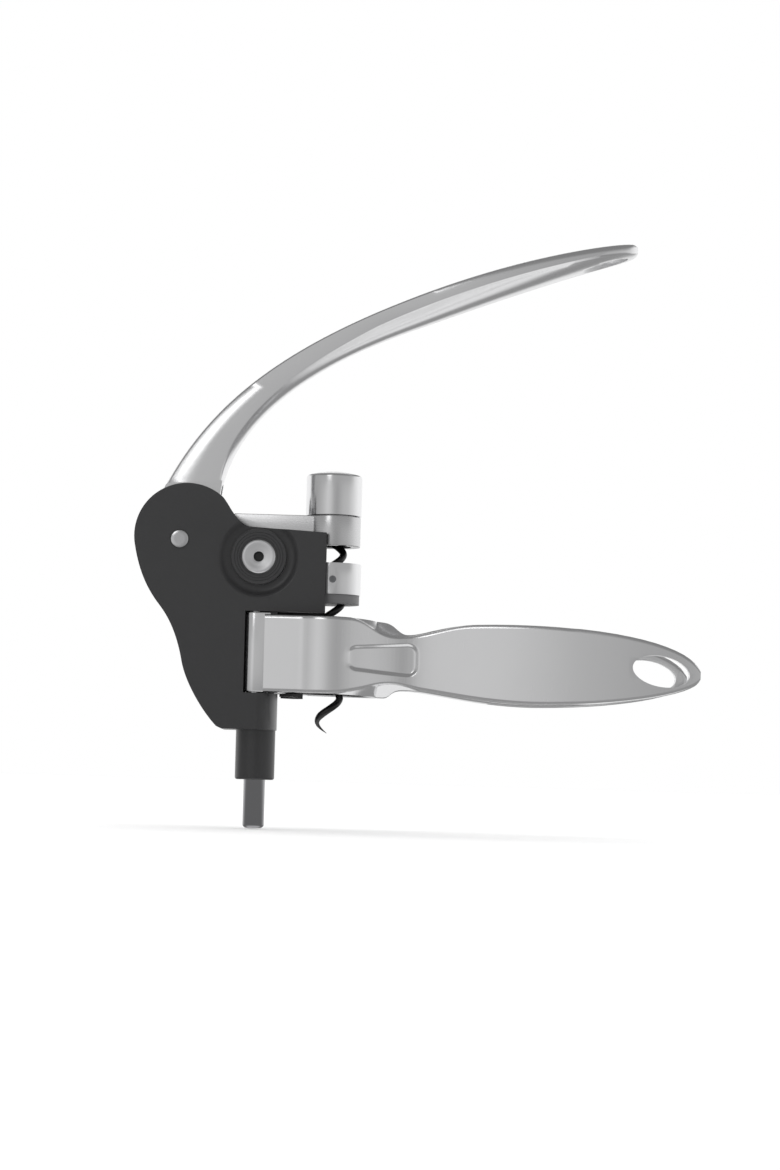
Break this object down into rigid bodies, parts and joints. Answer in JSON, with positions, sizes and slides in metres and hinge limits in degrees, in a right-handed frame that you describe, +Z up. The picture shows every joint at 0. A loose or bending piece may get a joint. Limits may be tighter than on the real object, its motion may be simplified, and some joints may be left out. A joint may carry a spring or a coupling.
{
  "type": "lever corkscrew",
  "caption": "Lever corkscrew with geared lever, sliding carriage with a coated spiral, and two hinged jaws with long handles that clamp a bottle neck.",
  "frame": {"origin": "on the spiral's axis, at mid height of the jaws, where the middle of the clamped bottle neck is", "axes": "+X towards the free ends of the handles and lever, +Y towards the rear handle, +Z up along the spiral, away from the bottle"},
  "size_m": [0.1932, 0.0436, 0.2036],
  "materials": {
    "shell_paint": "satin grey paint on die-cast zinc",
    "dark_screw": "blackened steel",
    "bronze": "sintered bronze",
    "satin_plate": "satin nickel plate, horizontal grain",
    "satin_cap": "turned satin nickel plate",
    "grey_nylon": "moulded nylon",
    "white_acetal": "moulded acetal",
    "steel_pin": "turned steel",
    "satin_rivet": "matt turned steel",
    "brushed_lever": "brushed nickel plate on die-cast zinc, polished edges",
    "dark_inlay": "moulded nylon strip",
    "gear_steel": "hardened steel, machined",
    "polished_rod": "ground and polished steel",
    "coated_wire": "non-stick coating on steel wire",
    "brushed_handle": "brushed nickel plate on die-cast zinc",
    "black_rubber": "moulded rubber"
  },
  "bodies": {
    "frame": {"front_shell": "shell_paint", "rear_shell": "shell_paint", "shell_screws": "dark_screw", "guide_tube": "shell_paint", "rod_bush": "bronze", "nut_yoke": "satin_plate", "nut_insert": "grey_nylon", "nut_pin": "steel_pin", "front_slide_pad": "white_acetal", "rear_slide_pad": "white_acetal", "front_boss_rivet": "satin_rivet", "rear_boss_rivet": "satin_rivet", "pivot_pin": "steel_pin", "pivot_washers": "white_acetal", "front_hinge_pin": "steel_pin", "rear_hinge_pin": "steel_pin"},
    "lever": {"lever_arm": "brushed_lever", "lever_inlay": "dark_inlay", "gear_sector": "gear_steel", "sector_rivets": "steel_pin", "lever_bush": "bronze"},
    "carriage": {"carriage_arm": "satin_plate", "rack_bar": "gear_steel", "guide_rod": "polished_rod", "worm_bush": "bronze", "thrust_washer": "white_acetal", "cap_plug": "satin_plate", "worm_cap": "satin_cap"},
    "spiral": {"worm": "coated_wire", "worm_head": "gear_steel"},
    "front_grip": {"front_handle": "brushed_handle", "front_jaw_pad": "black_rubber"},
    "rear_grip": {"rear_handle": "brushed_handle", "rear_jaw_pad": "black_rubber"}
  },
  "joints": [
    {"name": "lever_pivot", "type": "hinge", "parent": "frame", "child": "lever", "pos_m": [-0.0521, 0, 0.0375], "axis": [0, -1, 0], "range_deg": [0, 120]},
    {"name": "carriage_slide", "type": "slide", "parent": "frame", "child": "carriage", "axis": [0, 0, 1], "range_m": [0, 0.0407]},
    {"name": "spiral_turn", "type": "hinge", "parent": "carriage", "child": "spiral", "pos_m": [0, 0, 0], "axis": [0, 0, 1], "range_deg": [0, 886]},
    {"name": "front_grip_hinge", "type": "hinge", "parent": "frame", "child": "front_grip", "pos_m": [-0.0256, -0.0104, 0], "axis": [0, 0, -1], "range_deg": [0, 22]},
    {"name": "rear_grip_hinge", "type": "hinge", "parent": "frame", "child": "rear_grip", "pos_m": [-0.0256, 0.0104, 0], "axis": [0, 0, 1], "range_deg": [0, 22]}
  ],
  "couplings": [
    {"joint": "carriage_slide", "follows": "lever_pivot", "m_per_rad": 0.019375},
    {"joint": "spiral_turn", "follows": "lever_pivot", "ratio": 7.378}
  ]
}
